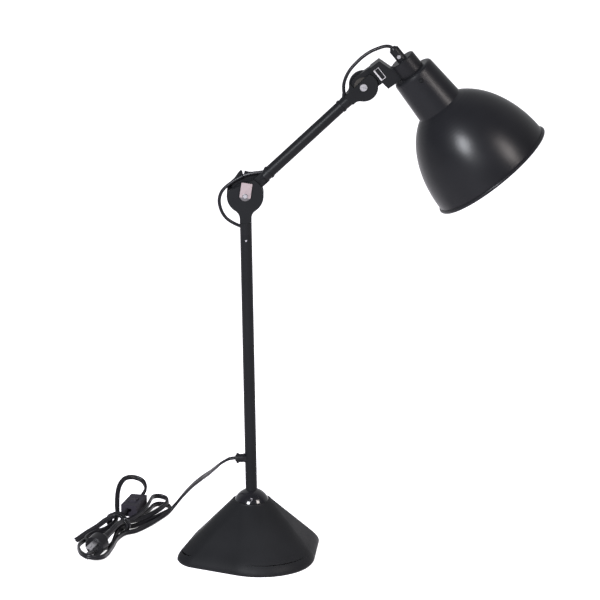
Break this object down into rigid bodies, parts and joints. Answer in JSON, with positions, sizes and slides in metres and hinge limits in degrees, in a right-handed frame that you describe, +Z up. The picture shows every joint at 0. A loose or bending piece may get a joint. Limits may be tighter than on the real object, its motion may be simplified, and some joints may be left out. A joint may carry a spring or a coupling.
{
  "type": "swing arm desk lamp",
  "caption": "Black swing arm desk lamp with a cast base whose corners are rounded, ball joint, tubular stem, jointed arm, bell shade and a flat mains cord tied in a hank",
  "frame": {"origin": "centre of the foot, on the upright axis of the ball joint, at table level", "axes": "+X towards the shade, +Z up, +Y away from the front"},
  "size_m": [0.4946, 0.2354, 0.5706],
  "materials": {
    "base_casting": "fine matte black paint",
    "base_bottom_plate": "zinc plated",
    "base_pad": "matte",
    "base_plate_screws": "zinc plated",
    "ball_seat": "moulded",
    "seat_springs": "bright",
    "spring_plug": "bright",
    "mains_cord": "smooth",
    "mains_hank": "smooth",
    "hank_tie": "smooth",
    "switch_top": "moulded",
    "switch_bottom": "moulded",
    "switch_screws": "bright",
    "plug_body": "moulded",
    "plug_pins": "plated",
    "thrust_bowl": "turned",
    "ball_liner": "moulded",
    "stem_ball": "gloss black lacquer",
    "stem_tube": "satin black paint",
    "gland_body": "satin black paint",
    "gland_nut": "satin black paint",
    "gland_grommet": "soft",
    "stem_lead": "smooth",
    "tube_cross_pins": "bright",
    "elbow_fork": "satin black paint",
    "elbow_washer": "bright",
    "elbow_lock_plate": "bright",
    "elbow_screw": "bright",
    "elbow_nut": "bright",
    "elbow_lead": "smooth",
    "elbow_friction_discs": "pressed fibre",
    "arm_elbow_head": "satin black paint",
    "arm_rivet": "satin black paint",
    "arm_ferrules": "satin black paint",
    "arm_tube": "satin black paint",
    "arm_lead": "smooth",
    "head_fork": "satin black paint",
    "head_screw": "bright",
    "head_nut": "bright",
    "head_lead": "smooth",
    "head_lock_plate": "bright",
    "head_friction_discs": "pressed fibre",
    "head_knuckle": "satin black paint",
    "knuckle_screws": "bright",
    "holder_cap": "moulded",
    "cord_grip": "moulded",
    "grip_bush": "moulded",
    "grip_screw": "bright",
    "holder_body": "moulded",
    "holder_thread": "pressed",
    "holder_contact": "pressed",
    "shade": "satin black paint",
    "shade_ring": "moulded",
    "shade_screws": "satin black paint",
    "bulb_glass": "frosted",
    "bulb_cap": "rolled",
    "bulb_contact": "rolled",
    "switch_rocker": "moulded"
  },
  "bodies": {
    "base": {"base_casting": "base_casting", "base_bottom_plate": "base_bottom_plate", "base_pad": "base_pad", "base_plate_screws": "base_plate_screws", "ball_seat": "ball_seat", "seat_springs": "seat_springs", "spring_plug": "spring_plug", "mains_cord": "mains_cord", "mains_hank": "mains_hank", "hank_tie": "hank_tie", "switch_top": "switch_top", "switch_bottom": "switch_bottom", "switch_screws": "switch_screws", "plug_body": "plug_body", "plug_pins": "plug_pins"},
    "bowl": {"thrust_bowl": "thrust_bowl"},
    "liner": {"ball_liner": "ball_liner"},
    "stem": {"stem_ball": "stem_ball", "stem_tube": "stem_tube", "gland_body": "gland_body", "gland_nut": "gland_nut", "gland_grommet": "gland_grommet", "stem_lead": "stem_lead", "tube_cross_pins": "tube_cross_pins", "elbow_fork": "elbow_fork", "elbow_washer": "elbow_washer", "elbow_lock_plate": "elbow_lock_plate", "elbow_screw": "elbow_screw", "elbow_nut": "elbow_nut", "elbow_lead": "elbow_lead"},
    "arm": {"elbow_friction_discs": "elbow_friction_discs", "arm_elbow_head": "arm_elbow_head", "arm_rivet": "arm_rivet", "arm_ferrules": "arm_ferrules", "arm_tube": "arm_tube", "arm_lead": "arm_lead", "head_fork": "head_fork", "head_screw": "head_screw", "head_nut": "head_nut", "head_lead": "head_lead"},
    "head": {"head_lock_plate": "head_lock_plate", "head_friction_discs": "head_friction_discs", "head_knuckle": "head_knuckle", "knuckle_screws": "knuckle_screws", "holder_cap": "holder_cap", "cord_grip": "cord_grip", "grip_bush": "grip_bush", "grip_screw": "grip_screw", "holder_body": "holder_body", "holder_thread": "holder_thread", "holder_contact": "holder_contact", "shade": "shade", "shade_ring": "shade_ring", "shade_screws": "shade_screws", "bulb_glass": "bulb_glass", "bulb_cap": "bulb_cap", "bulb_contact": "bulb_contact"},
    "rocker": {"switch_rocker": "switch_rocker"}
  },
  "joints": [
    {"name": "ball_side_lean", "type": "hinge", "parent": "base", "child": "bowl", "pos_m": [0, 0, 0.055], "axis": [1, 0, 0], "range_deg": [-20, 20], "deforming": ["mains_cord"]},
    {"name": "ball_lean", "type": "hinge", "parent": "bowl", "child": "liner", "pos_m": [0, 0, 0.055], "axis": [0, 1, 0], "range_deg": [-20, 20], "deforming": ["mains_cord"]},
    {"name": "ball_turn", "type": "hinge", "parent": "liner", "child": "stem", "pos_m": [0, 0, 0.055], "axis": [-0.0175, 0, 0.9998], "range_deg": [-60, 60], "deforming": ["mains_cord"]},
    {"name": "elbow", "type": "hinge", "parent": "stem", "child": "arm", "pos_m": [-0.00611, 0, 0.40495], "axis": [0, -1, 0], "range_deg": [-60, 42], "deforming": ["elbow_lead"]},
    {"name": "head_tilt", "type": "hinge", "parent": "arm", "child": "head", "pos_m": [0.11938, 0, 0.52403], "axis": [0, -1, 0], "range_deg": [-30, 50], "deforming": ["head_lead"]},
    {"name": "switch_rock", "type": "hinge", "parent": "base", "child": "rocker", "pos_m": [-0.13054, 0.10156, 0.025], "axis": [-0.9641, 0.2656, 0], "range_deg": [-16, 0]}
  ]
}
